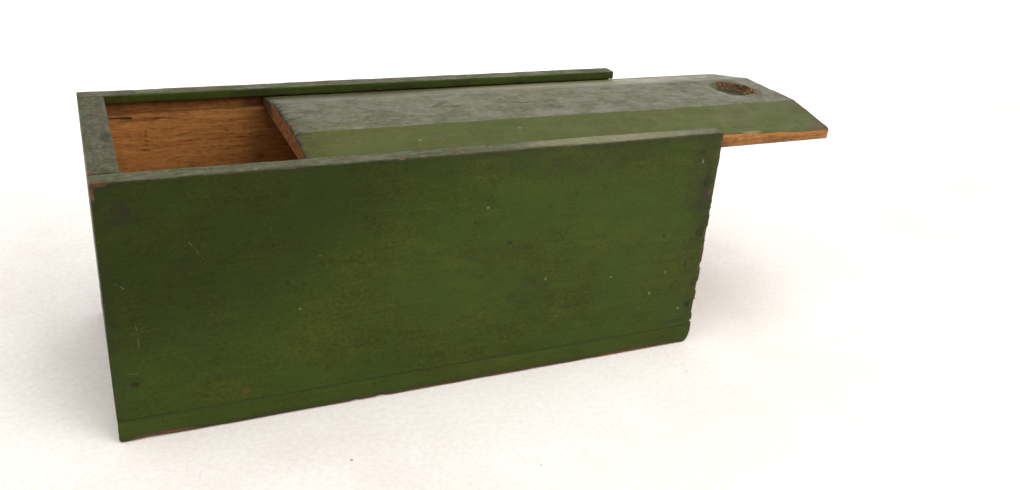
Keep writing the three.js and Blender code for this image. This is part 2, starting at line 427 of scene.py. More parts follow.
def scratches(tree, place, width, *lines):
    """1 along fine broken lines, each given by its two ends."""
    gaps = texture_noise(tree, place, (2.4, 2.4, 2.4), 2.0, 0.5, 6.0)
    mask = 0.0
    for start, end in lines:
        start, end = np.array(start) * MM, np.array(end) * MM
        span = end - start
        offset = vector_calc(tree, "SUBTRACT", place, start.tolist())[0]
        share = vector_calc(tree, "DOT_PRODUCT", offset, (span / (span @ span)).tolist())["Value"]
        share = calc(tree, "MINIMUM", calc(tree, "MAXIMUM", share, 0.0), 1.0)
        on_line = vector_calc(tree, "SCALE", span.tolist())
        tree.links.new(share, on_line[0].node.inputs["Scale"])
        reach = vector_calc(tree, "DISTANCE", offset, on_line[0])["Value"]
        mask = calc(tree, "MAXIMUM", mask, ramp(tree, reach, width * MM, 2.2 * width * MM, 1.0, 0.0))
    return calc(tree, "MULTIPLY", mask, ramp(tree, gaps, 0.40, 0.54))


def layer(tree, name):
    return put(tree, "ShaderNodeAttribute", attribute_name=name).outputs["Fac"]


def new_shader(name, roughness, specular):
    material = bpy.data.materials.new(name)
    material.use_nodes = True
    tree = material.node_tree
    surface = next(n for n in tree.nodes if n.type == "BSDF_PRINCIPLED")
    surface.inputs["Roughness"].default_value = roughness
    surface.inputs["Specular IOR Level"].default_value = specular
    place = put(tree, "ShaderNodeTexCoord").outputs["Object"]
    return material, tree, surface, place


def bare_wood(tree, place, along, seed):
    """Old softwood: soft growth bands, fine fibres and short dark pores, with its relief."""
    fibre = texture_noise(tree, place, grain_size(along, 20, 0.38), 5.0, 0.62, seed)
    streak = texture_noise(tree, place, grain_size(along, 90, 2.6), 3.0, 0.5, seed + 3)
    cloud = texture_noise(tree, place, grain_size(along, 40, 16), 3.0, 0.5, seed + 5)
    lines = texture_noise(tree, place, grain_size(along, 26, 1.1), 4.0, 0.7, seed + 4)
    speckle = texture_noise(tree, place, grain_size(along, 2.6, 0.9), 3.0, 0.75, seed + 8)
    fine_grain = weighted(tree, (fibre, 0.32), (lines, 0.22), (speckle, 0.24))
    tone = weighted(tree, (fine_grain, 1.0), (streak, 0.11), (cloud, 0.11))
    dark = (0.185, 0.066, 0.016)
    middle = (0.355, 0.150, 0.041)
    light = (0.520, 0.245, 0.076)
    colour = colours(tree, tone, [(0.38, dark), (0.50, middle), (0.62, light)])
    pores = texture_noise(tree, place, grain_size(along, 4.5, 0.22), 2.0, 0.5, seed + 7)
    pore_mask = ramp(tree, pores, 0.63, 0.72)
    colour = mix(tree, calc(tree, "MULTIPLY", pore_mask, 0.62), colour, (0.080, 0.026, 0.006))
    dashes = texture_noise(tree, place, grain_size(along, 5.0, 0.60), 3.0, 0.6, seed + 9)
    colour = mix(tree, ramp(tree, dashes, 0.56, 0.66, 0.0, 0.62), colour, (0.100, 0.036, 0.009))
    relief = weighted(tree, (fibre, 1.0), (pore_mask, -0.6))
    return colour, relief


def paint_film(tree, place, along, greens, seed):
    """Brushed oil paint that has faded unevenly, and its relief."""
    cloud = texture_noise(tree, place, (48, 48, 48), 3.0, 0.55, seed + 11)
    mottle = texture_noise(tree, place, grain_size(along, 10, 6), 4.0, 0.6, seed + 12)
    brush = texture_noise(tree, place, grain_size(along, 44, 1.8), 4.0, 0.6, seed + 13)
    fine = texture_noise(tree, place, grain_size(along, 9, 0.45), 4.0, 0.6, seed + 14)
    grit = texture_noise(tree, place, grain_size(along, 1.5, 1.1), 3.0, 0.75, seed + 16)
    tone = weighted(tree, (cloud, 0.20), (mottle, 0.16), (brush, 0.13), (fine, 0.12), (grit, 0.39))
    colour = colours(tree, tone, [(0.38, greens[0]), (0.50, greens[1]), (0.62, greens[2])])
    hue = ramp(tree, texture_noise(tree, place, (22, 22, 22), 5.0, 0.65, seed + 15), 0.36, 0.64)
    colour = mix(tree, calc(tree, "MULTIPLY", hue, 0.55), colour, greens[3])
    relief = weighted(tree, (brush, 0.4), (fine, 0.6))
    return colour, relief


def weathered_film(tree, place, along, colour, brown, seed):
    """Paint on the faces that look up: rubbed thin, brown where it is gone, and dusty."""
    grey = texture_noise(tree, place, grain_size(along, 16, 4.0), 6.0, 0.70, seed + 31)
    thin = texture_noise(tree, place, grain_size(along, 20, 4.0), 6.0, 0.70, seed + 32)
    lines = texture_noise(tree, place, grain_size(along, 10, 1.5), 5.0, 0.66, seed + 33)
    dusty = mix(tree, ramp(tree, grey, 0.38, 0.62, 0.15, 0.95), colour, (0.086, 0.086, 0.046))
    brown_mask = calc(tree, "MULTIPLY", ramp(tree, thin, 0.52, 0.60), brown)
    dusty = mix(tree, brown_mask, dusty, (0.082, 0.050, 0.030))
    dark_lines = calc(tree, "MULTIPLY", ramp(tree, lines, 0.52, 0.62), 0.60)
    dusty = mix(tree, dark_lines, dusty, (0.030, 0.026, 0.014))
    grit = texture_noise(tree, place, grain_size(along, 2.6, 1.9), 4.0, 0.75, seed + 35)
    dusty = mix(tree, ramp(tree, grit, 0.53, 0.64, 0.0, 0.66), dusty, (0.026, 0.022, 0.012))
    return mix(tree, ramp(tree, grit, 0.47, 0.36, 0.0, 0.56), dusty, (0.150, 0.146, 0.100))


def painted_wood(name, along, look, marks=None):
    """Paint over wood. The mesh layers say where it is bare, worn, grimy or rubbed, and where shade is painted.
    """
    marks = marks or {}
    seed, greens = look["seed"], look["greens"]
    material, tree, surface, place = new_shader(name, 0.45, look["specular"])
    wood_colour, wood_relief = bare_wood(tree, place, along, seed)
    film_colour, film_relief = paint_film(tree, place, along, greens, seed)

    facing = put(tree, "ShaderNodeNewGeometry").outputs["Normal"]
    across = vector_calc(tree, "DOT_PRODUCT", facing, grain_size(along, 1.0, 0.0))["Value"]
    end_grain = ramp(tree, calc(tree, "ABSOLUTE", across), 0.55, 0.90, 0.0, 0.62)
    wood_colour = mix(tree, end_grain, wood_colour, (0.250, 0.098, 0.038))
    rings = texture_noise(tree, place, grain_size(along, 30, 1.5), 4.0, 0.75, seed + 26)
    ring_mask = calc(tree, "MULTIPLY", end_grain, ramp(tree, rings, 0.47, 0.60, 0.0, 1.4))
    wood_colour = mix(tree, ring_mask, wood_colour, (0.060, 0.022, 0.010))

    # Painted shade: this layer darkens the paint as if less light fell there.
    film_colour = mix(tree, layer(tree, "painted_shade"), film_colour, (0.56, 0.57, 0.44), "MULTIPLY")
    rub = layer(tree, "rub")
    rub_edge = texture_noise(tree, place, grain_size(along, 30, 9), 5.0, 0.6, seed + 21)
    rub_mask = ramp(tree, weighted(tree, (rub, 1.0), (rub_edge, 0.7)), 0.50, 1.15)
    weathered = weathered_film(tree, place, along, film_colour, look["brown"], seed)
    film_colour = mix(tree, rub_mask, film_colour, weathered)

    pits = calc(tree, "MULTIPLY", specks(tree, place, 10.0, 0.050, 0.22, seed + 1), 0.7)
    film_colour = mix(tree, pits, film_colour, (0.012, 0.012, 0.006))
    flecks = calc(tree, "MULTIPLY", specks(tree, place, 15.0, 0.028, 0.20, seed + 2), 0.5)
    film_colour = mix(tree, flecks, film_colour, (0.30, 0.30, 0.18))
    if "dark" in marks:
        mask = calc(tree, "MULTIPLY", blots(tree, place, seed, *marks["dark"]), 0.60)
        film_colour = mix(tree, mask, film_colour, (0.016, 0.015, 0.008))
    if "scratches" in marks:
        mask = calc(tree, "MULTIPLY", scratches(tree, place, 0.08, *marks["scratches"]), 0.38)
        film_colour = mix(tree, mask, film_colour, (0.22, 0.21, 0.11))

    soot = texture_noise(tree, place, (6, 6, 6), 5.0, 0.65, seed + 22)
    # This layer darkens paint and wood: dirt, and in places painted shade and shadow.
    grime_and_shade_mask = calc(tree, "MULTIPLY", layer(tree, "grime_and_shade"), ramp(tree, soot, 0.32, 0.66, 0.50, 1.0))
    film_colour = mix(tree, grime_and_shade_mask, film_colour, (0.020, 0.018, 0.011))
    wood_colour = mix(tree, calc(tree, "MULTIPLY", grime_and_shade_mask, 0.85), wood_colour, (0.030, 0.014, 0.006))

    crumbs = texture_noise(tree, place, grain_size(along, 3.0, 1.0), 5.0, 0.65, seed + 24)
    crumbs = calc(tree, "SUBTRACT", crumbs, 0.5)
    stretch = texture_noise(tree, place, (17, 17, 17), 4.0, 0.65, seed + 23)
    rubbed_arris = calc(tree, "MULTIPLY", layer(tree, "arris"), ramp(tree, stretch, 0.36, 0.60, 0.05, 0.58))
    loss = calc(tree, "MAXIMUM", layer(tree, "wear"), rubbed_arris)
    loss = weighted(tree, (loss, 1.0), (crumbs, 0.75))
    chipped = ramp(tree, loss, 0.54, 0.60)
    undercoat = ramp(tree, loss, 0.38, 0.50)
    never = ramp(tree, weighted(tree, (layer(tree, "bare"), 1.0), (crumbs, 0.5)), 0.45, 0.55)
    gone = calc(tree, "MAXIMUM", chipped, never)

    fresh = ramp(tree, layer(tree, "wear"), 0.62, 0.80)
    aged = mix(tree, fresh, (0.088, 0.052, 0.030), mix(tree, 0.70, wood_colour, (0.130, 0.062, 0.034)))
    aged = mix(tree, calc(tree, "MULTIPLY", grime_and_shade_mask, 0.85), aged, (0.034, 0.020, 0.011))
    exposed = mix(tree, never, aged, wood_colour)
    film_colour = mix(tree, calc(tree, "MULTIPLY", undercoat, 0.8), film_colour, (0.062, 0.046, 0.026))
    colour = mix(tree, gone, film_colour, exposed)
    fibres = texture_noise(tree, place, (0.8, 2.8, 1.2), 3.0, 0.7, seed + 28)
    dark_fibre, fibre, pale_fibre = (0.050, 0.024, 0.010), (0.185, 0.094, 0.036), (0.410, 0.240, 0.105)
    torn_wood = colours(tree, fibres, [(0.40, dark_fibre), (0.51, fibre), (0.63, pale_fibre)])
    torn = layer(tree, "torn")
    # Painted shade: torn wood is darkened where the torn layer is low, toward the notch's far side.
    torn_wood = mix(tree, ramp(tree, torn, 0.55, 0.95, 0.66, 0.0), torn_wood, (0.034, 0.016, 0.009))
    colour = mix(tree, ramp(tree, torn, 0.15, 0.45), colour, torn_wood)
    if "stains" in marks:
        mask = calc(tree, "MULTIPLY", blots(tree, place, seed + 3, *marks["stains"]), 0.80)
        colour = mix(tree, mask, colour, (0.034, 0.027, 0.020))
    if "rust" in marks:
        mask = calc(tree, "MULTIPLY", blots(tree, place, seed + 9, *marks["rust"]), 0.5)
        colour = mix(tree, mask, colour, (0.125, 0.044, 0.022))
    # Pale marks: light flecks of paint, and broad painted highlights and sheen.
    if "pale" in marks:
        mask = calc(tree, "MULTIPLY", blots(tree, place, seed + 5, *marks["pale"]), 0.28)
        colour = mix(tree, mask, colour, (0.36, 0.35, 0.20))
    tree.links.new(colour, surface.inputs["Base Color"])

    shine = texture_noise(tree, place, (9, 9, 9), 4.0, 0.6, seed + 25)
    gloss = ramp(tree, shine, 0.30, 0.70, look["rough"] - 0.07, look["rough"] + 0.10)
    dulled = weighted(tree, (gloss, 1.0), (grime_and_shade_mask, 0.15), (rub_mask, look["rub_dulls"]))
    tree.links.new(mix_value(tree, gone, dulled, 0.70), surface.inputs["Roughness"])

    rough_film = texture_noise(tree, place, grain_size(along, 5, 0.8), 5.0, 0.65, seed + 34)
    film_relief = weighted(tree, (film_relief, 1.0), (calc(tree, "MULTIPLY", rough_film, rub_mask), 1.6))
    relief = mix_value(tree, gone, film_relief, wood_relief)
    height = weighted(tree, (relief, 1.0), (gone, -1.2))
    bump = put(tree, "ShaderNodeBump", {"Height": height, "Strength": 0.55, "Distance": 0.13 * MM})
    tree.links.new(bump.outputs[0], surface.inputs["Normal"])
    return material


def nail_material():
    material, tree, surface, place = new_shader("old_nail", 0.80, 0.10)
    crust = texture_noise(tree, place, (1.3, 1.3, 1.3), 5.0, 0.65, 4.0)
    dark, middle, light = (0.018, 0.012, 0.008), (0.060, 0.027, 0.014), (0.120, 0.052, 0.022)
    rust = colours(tree, crust, [(0.35, dark), (0.52, middle), (0.70, light)])
    film = ramp(tree, texture_noise(tree, place, (2.6, 2.6, 2.6), 3.0, 0.6, 9.0), 0.30, 0.40)
    colour = mix(tree, calc(tree, "MULTIPLY", film, 0.90), rust, (0.021, 0.025, 0.004))
    tree.links.new(colour, surface.inputs["Base Color"])
    tree.links.new(ramp(tree, crust, 0.3, 0.7, 0.85, 0.5), surface.inputs["Roughness"])
    bump = put(tree, "ShaderNodeBump", {"Height": crust, "Strength": 0.8, "Distance": 0.15 * MM})
    tree.links.new(bump.outputs[0], surface.inputs["Normal"])
    return material


def dress(piece, material, slot_name, body, *nodes):
    piece.data.materials.append(material)
    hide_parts(*nodes)
    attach(piece, body)
    return piece


# ---------- boards ----------
BOX_GREENS = [
    (0.020, 0.026, 0.0030), (0.037, 0.049, 0.0040), (0.055, 0.072, 0.0070), (0.029, 0.056, 0.0065),
]
# The lid's greens are the box's paint made lighter and greyer: painted light and sheen for the lid's up-facing
# top.
LIT_LID_GREENS = [
    (0.036, 0.042, 0.0060), (0.060, 0.070, 0.0100), (0.088, 0.096, 0.0180), (0.050, 0.076, 0.0090),
]


def box_look(seed):
    return {
        "seed": seed, "greens": BOX_GREENS, "specular": 0.11, "rough": 0.44,
        "rub_dulls": 0.10, "brown": 0.60,
    }


def lid_look(seed):
    return {
        "seed": seed, "greens": LIT_LID_GREENS, "specular": 0.13, "rough": 0.40,
        "rub_dulls": 0.03, "brown": 0.40,
    }


FRONT_FACE = -51.0
FRONT_MARKS = {
    "dark": [
        ((27.5, FRONT_FACE, 62.3), (1.6, 2, 1.0)), ((12.0, FRONT_FACE, 72.6), (0.9, 2, 0.7)),
        ((100.6, FRONT_FACE, 56.4), (1.0, 2, 0.8)), ((-61.0, FRONT_FACE, 57.0), (0.9, 2, 0.9)),
        ((-84.0, FRONT_FACE, 55.0), (1.0, 2, 0.8)), ((118.8, FRONT_FACE, 55.6), (1.6, 2, 2.0)),
        ((114.0, FRONT_FACE, 42.0), (0.9, 2, 1.6)), ((120.0, FRONT_FACE, 30.5), (1.0, 2, 1.4)),
        ((113.7, FRONT_FACE, 93.5), (2.2, 2, 1.4)),
    ],
    "pale": [
        ((17.0, FRONT_FACE, 78.5), (0.7, 2, 0.5)), ((45.0, FRONT_FACE, 43.5), (0.6, 2, 0.6)),
        ((76.5, FRONT_FACE, 40.0), (0.7, 2, 0.5)), ((-56.5, FRONT_FACE, 45.5), (0.6, 2, 0.6)),
        ((97.5, FRONT_FACE, 29.0), (0.7, 2, 0.9)), ((104.0, FRONT_FACE, 38.5), (0.5, 2, 0.8)),
        ((114.0, FRONT_FACE, 19.0), (0.8, 2, 0.6)), ((114.5, FRONT_FACE, 89.5), (0.7, 2, 1.0)),
        # The long pale band on the top edge at (72, -47) is painted sheen over worn, dusty paint.
        ((-115.5, FRONT_FACE, 90.0), (0.6, 2, 1.3)), ((72.0, -47.0, 102.5), (54.0, 6.0, 2)),
    ],
    "rust": [((-77.5, FRONT_FACE, 13.5), (1.5, 2, 1.6)), ((120.6, FRONT_FACE, 75.0), (0.9, 2, 1.8))],
    "stains": [((119.2, FRONT_FACE, 74.0), (2.0, 2, 2.8))],
    "scratches": [
        ((-94.5, FRONT_FACE, 78.5), (-89.5, FRONT_FACE, 70.5)),
        ((-118.7, FRONT_FACE, 65.0), (-115.8, FRONT_FACE, 62.5)),
        ((-113.5, FRONT_FACE, 49.0), (-113.0, FRONT_FACE, 39.0)),
        ((-117.4, FRONT_FACE, 28.6), (-114.6, FRONT_FACE, 28.4)),
        ((-114.6, FRONT_FACE, 28.4), (-113.4, FRONT_FACE, 26.0)),
        ((-113.4, FRONT_FACE, 26.0), (-114.4, FRONT_FACE, 21.6)),
    ],
}


def side_board(name, node, sign, seed):
    """A long side with the lid's groove. sign is -1 for the front and 1 for the back."""
    low, high = node_box(node)
    outer, inner = (low[1], high[1]) if sign < 0 else (high[1], low[1])
    top, bottom = high[2], low[2]
    wall = inner + sign * GROOVE_DEPTH
    groove_top = top - LIP_HEIGHT
    groove_floor = groove_top - GROOVE_HEIGHT
    corners = [
        (outer, bottom), (inner, bottom), (inner, groove_floor), (wall, groove_floor),
        (wall, groove_top), (inner, groove_top), (inner, top), (outer, top),
    ]
    usual = [0.25, 0.2, 0.5, 0.3, 0.3, 0.45, 0.55, 0.75]
    if sign > 0:
        corners, usual = corners[::-1], usual[::-1]
    nail_heights = [m[2] for _, m, way in NAILS if way[1] == sign]
    nail_places = sorted({round(float(m[0]), 2) for _, m, way in NAILS if way[1] == sign})
    stations, insets = end_stations(low[0], high[0], 0.45, 1.1, nail_places)
    fractions = even_fractions(np.array(corners), 0.65, nail_heights)

    places = repeat_corners(corners, len(stations))
    radii = np.repeat(np.array(usual)[None], len(stations), axis=0)
    wander = noise(np.stack([stations, stations * 0, stations * 0 + seed], -1), (7.0, 1.0, 1.0), seed)
    nibble = noise(np.stack([stations, stations * 0, stations * 0 + seed], -1), (2.3, 1.0, 1.0), seed + 1)
    for number, radius in enumerate(usual):
        if radius >= 0.45:
            radii[:, number] *= 1 + 0.35 * wander + 0.25 * nibble
    grid, facing, arris = sweep(section_loops(places, radii, insets, fractions), stations, ALONG_X)

    x, y, z = grid[..., 0], grid[..., 1], grid[..., 2]
    outside = smooth_step(sign * facing[..., 1], 0.3, 0.8)
    inside = smooth_step(-sign * facing[..., 1], 0.3, 0.8)
    upward = smooth_step(facing[..., 2], 0.4, 0.9) * (z > top - 2)
    above_floor = smooth_step(z, groove_floor - 0.6, groove_floor - 0.1)
    in_groove = above_floor * (1 - smooth_step(z, groove_top - 0.5, groove_top - 0.2))
    lip_face = inside * smooth_step(z, groove_top - 0.4, groove_top - 0.1)
    guide = smooth_step(z, groove_floor - 2.5, groove_floor - 1.0) * (1 - outside) * (1 - upward)

    wave = planed(grid, seed + 2, ALONG_X)
    wave = wave - 0.12 * (0.5 + 0.5 * noise(grid, (11.0, 11.0, 11.0), seed + 5))
    wave = wave * (1 - guide)
    crushed = dimples(grid, facing) * outside
    moved = grid + facing * (wave - crushed)[..., None]
    right, left = high[0], low[0]
    if sign < 0:
        bites = [
            ((right, outer, 84.5), (5.0, 14.0, 3.4), 1.3), ((right, outer, 77.6), (5.0, 14.0, 1.7), 1.0),
            ((right, outer, 65.5), (5.0, 14.0, 1.8), 0.9), ((right, outer, 39.5), (5.0, 14.0, 1.8), 1.1),
            ((right, outer, 19.5), (5.0, 14.0, 2.8), 1.9), ((right, outer, 55.0), (5.0, 14.0, 3.0), 0.5),
            ((right, outer, 28.5), (5.0, 14.0, 2.0), 0.9), ((right, outer, 92.5), (5.0, 14.0, 1.3), 0.8),
        ]
    else:
        bites = [
            ((right, outer, 71.0), (3.0, 9.0, 2.2), 0.8), ((right, outer, 33.0), (3.0, 9.0, 1.8), 0.9),
            ((right, outer, 88.0), (4.0, 9.0, 2.4), 0.8), ((right, outer, 18.0), (3.0, 9.0, 1.6), 0.6),
        ]
    moved = ragged_end(moved, left, right, bites, seed + 8, 1.3, 1)
    moved = kept_inside(moved, low, high)

    painted_shade = np.zeros_like(x)
    painted_joint = 1 - smooth_step(np.minimum(x - left, right - x), 0.8, 1.6)
    bare = inside * (1 - lip_face)
    bare = np.maximum(bare, in_groove * (1 - outside) * (1 - lip_face))
    bare = np.maximum(bare, (facing[..., 2] < -0.99) * (z < bottom + 1) * (1.0 - outside))
    bare = bare * (1 - painted_joint)
    arris = arris * (z > bottom + 2) * (1 - inside)
    wear = np.zeros_like(x)
    rub = upward * 0.95
    grime_and_shade = 0.16 * nail_stain(grid) * outside
    grime_and_shade += in_groove * (1 - outside) * 0.55
    grime_and_shade += lip_face * (0.16 + 0.45 * smooth_step(noise(grid, (14.0, 9.0, 2.2), seed + 6), 0.0, 0.5))
    # Painted shade: a dark line along the foot of the lip's inner face, just above the groove.
    grime_and_shade += 0.5 * (1 - smooth_step(z - groove_top, 0.3, 1.3)) * lip_face
    grime_and_shade += 0.5 * inside * (1 - smooth_step(np.abs(z - groove_floor), 0.0, 1.6)) * (z < groove_floor)
    grime_and_shade += 0.95 * smooth_step(z, bottom + 0.35, bottom + 0.10) * outside
    grime_and_shade += 0.30 * smooth_step(z, top - 3.5, top - 0.6) * outside
    grime_and_shade += 0.25 * (1 - smooth_step(x - left, 0.5, 7.0)) * outside
    grime_and_shade += 0.22 * smooth_step(x, 109.0, 120.0) * outside
    wear += 0.58 * smooth_step(x, right - 1.6, right - 0.7) * outside
    wear += 0.40 * (1 - smooth_step(x - left, 0.3, 1.2)) * outside
    marks = {}
    if sign < 0:
        wear += 0.90 * spot(grid, (left + 2, outer, top - 0.6), (6.5, 1.5, 0.9), seed + 51, 0.6)
        wear += 0.85 * spot(grid, (left, outer, top - 2), (1.4, 1.5, 3.4), seed + 52, 0.8)
        grime_and_shade += 0.40 * spot(grid, (left, outer, top), (10.0, 2.0, 6.0), seed + 61, 0.3)
        wear += 0.85 * spot(grid, (-18.0, outer, top - 0.3), (2.8, 1.0, 0.6), seed + 53, 0.3)
        grime_and_shade += 0.55 * spot(grid, (-115.0, outer, 89.5), (4.6, 2.0, 6.5), seed + 54, 0.5) * outside
        grime_and_shade += 0.30 * spot(grid, (115.0, outer, 84.0), (7.0, 2.0, 24.0), seed + 56, 0.7) * outside
        grime_and_shade += 0.25 * spot(grid, (119.0, outer, 70.0), (5.0, 2.0, 22.0), seed + 57, 0.5) * outside
        grime_and_shade += 0.28 * spot(grid, (20.0, outer, 57.0), (17.0, 2.0, 7.0), seed + 58, 0.6) * outside
        grime_and_shade += 0.18 * spot(grid, (36.0, outer, 38.0), (13.0, 2.0, 8.0), seed + 60, 0.6) * outside
        # Painted shade: a broad darkening over the top right of the front face.
        grime_and_shade += 0.38 * spot(grid, (62.0, outer, 100.0), (62.0, 2.0, 16.0), seed + 59, 0.3) * outside
        grime_and_shade += 0.50 * spot(grid, (111.9, outer, 12.6), (8.0, 2.0, 1.2), seed + 64, 0.4) * outside
        # Painted shade: the upper left of the front face is darkened, as if less light fell there.
        painted_shade = spot(grid, (-130.0, outer, 108.0), (150.0, 9.0, 95.0), seed + 65, 0.12) * outside
        marks = FRONT_MARKS
    else:
        wear += 0.95 * spot(grid, (2.1, inner, groove_top + 0.5), (1.6, 1.2, 1.0), seed + 63, 0.2)
        grime_and_shade += 0.90 * spot(grid, (3.2, inner, groove_top), (3.0, 1.2, 0.7), seed + 62, 0.2)
        grime_and_shade += 0.35 * spot(grid, (-106.0, 47.0, top), (5.0, 6.0, 2.0), seed + 66, 0.4)
        grime_and_shade += 0.35 * spot(grid, (112.0, 47.0, top), (9.0, 6.0, 2.0), seed + 67, 0.4)
        grime_and_shade += 0.30 * spot(grid, (30.0, outer, 52.0), (46.0, 2.0, 20.0), seed + 68, 0.7) * outside
        wear += 0.60 * spot(grid, (-60.0, outer, top), (9.0, 1.6, 1.2), seed + 69, 0.4)
        smear = spot(grid, (-108.5, inner, groove_floor - 1.0), (7.0, 2.0, 0.7), seed + 70, 0.9)
        bare = np.clip(bare - 0.9 * smear, 0, 1)
        grime_and_shade += 0.40 * smear
        grime_and_shade += 0.80 * spot(grid, (-97.0, inner, groove_floor - 2.4), (9.0, 2.0, 0.8), seed + 73, 0.9)
        # Painted shadow of the lid's resting end, partly dirt: the inner back wall is darkened beside it.
        grime_and_shade += 0.45 * smooth_step(x, -62.0, -52.0) * (1 - smooth_step(x, -49.0, -42.0)) * inside
        for height in (85.5, 83.6, 81.5, 79.5, 77.5):
            dot = (-98.4 - (85.5 - height) * 0.08, inner, height)
            grime_and_shade += 0.9 * spot(grid, dot, (0.8, 1.0, 0.6), seed + 71, 0.2)
        grime_and_shade += 0.9 * spot(grid, (-51.6, inner, 71.4), (1.6, 1.5, 1.4), seed + 72, 0.3)
    layers = {
        "bare": bare, "wear": np.clip(wear, 0, 1), "grime_and_shade": np.clip(grime_and_shade, 0, 1),
        "rub": rub, "arris": arris, "painted_shade": painted_shade,
    }
    piece = board_object(name, moved, layers, {"grime_and_shade": 0.35, "wear": 0.12})
    material = painted_wood(name + "_paint", ALONG_X, box_look(seed * 1.3), marks)
    return dress(piece, material, "painted_boards", "carcass", node)


def end_board(name, node, outer_sign, seed, shows_top):
    """A short end, standing between the sides, with its grain across the box."""
    low, high = node_box(node)
    corners = [(low[0], low[2]), (high[0], low[2]), (high[0], high[2]), (low[0], high[2])]
    stations, insets = end_stations(low[1], high[1], 0.55, 1.1)
    fractions = even_fractions(np.array(corners), 1.1)
    places = repeat_corners(corners, len(stations))
    radii = np.full((len(stations), 4), 0.25)
    walk = np.stack([stations * 0 + seed, stations, stations * 0], -1)
    radii[:, 2:] = (0.7 * (1 + 0.35 * noise(walk, (1.0, 8.0, 1.0), seed)))[:, None]
    grid, facing, arris = sweep(section_loops(places, radii, insets, fractions), stations, ALONG_Y)

    x, z = grid[..., 0], grid[..., 2]
    outside = smooth_step(outer_sign * facing[..., 0], 0.3, 0.8)
    inside = smooth_step(-outer_sign * facing[..., 0], 0.3, 0.8)
    upward = smooth_step(facing[..., 2], 0.4, 0.9)
    wave = planed(grid, seed + 2, ALONG_Y, 0.12) - 0.06 * (outside + upward)
    edge = inside * smooth_step(z, high[2] - 6, high[2])
    wave = wave + edge * 0.35 * noise(grid, (9.0, 30.0, 30.0), seed + 3)
    moved = kept_inside(grid + facing * wave[..., None], low, high)

    grime_and_shade = 0.30 * upward + 0.25 * outside * smooth_step(-z, -low[2] - 6, -low[2])
    grime_and_shade += 0.30 * spot(grid, (x.mean(), 0.0, 60.0), (9.0, 30.0, 16.0), seed + 5, 0.7) * outside
    wear = np.zeros_like(x)
    if shows_top:
        grime_and_shade += 0.55 * spot(grid, (high[0] - 2.5, -7.8, high[2]), (2.6, 7.5, 2.0), seed + 6, 0.4)
        grime_and_shade += 0.60 * smooth_step(-grid[..., 1], -low[1] - 2.2, -low[1] - 0.2) * upward
        wear += 0.90 * spot(grid, (low[0], low[1], high[2]), (2.4, 7.0, 2.2), seed + 7, 0.3)
    arris = arris * upward
    inner_face = smooth_step(-outer_sign * facing[..., 0], 0.9, 0.99)
    layers = {
        "bare": inner_face, "wear": wear, "grime_and_shade": np.clip(grime_and_shade, 0, 1),
        "rub": upward * 0.9, "arris": arris,
    }
    piece = board_object(name, moved, layers, {"bare": 1.0})
    material = painted_wood(name + "_paint", ALONG_Y, box_look(seed * 1.3))
    return dress(piece, material, "painted_boards", "carcass", node)


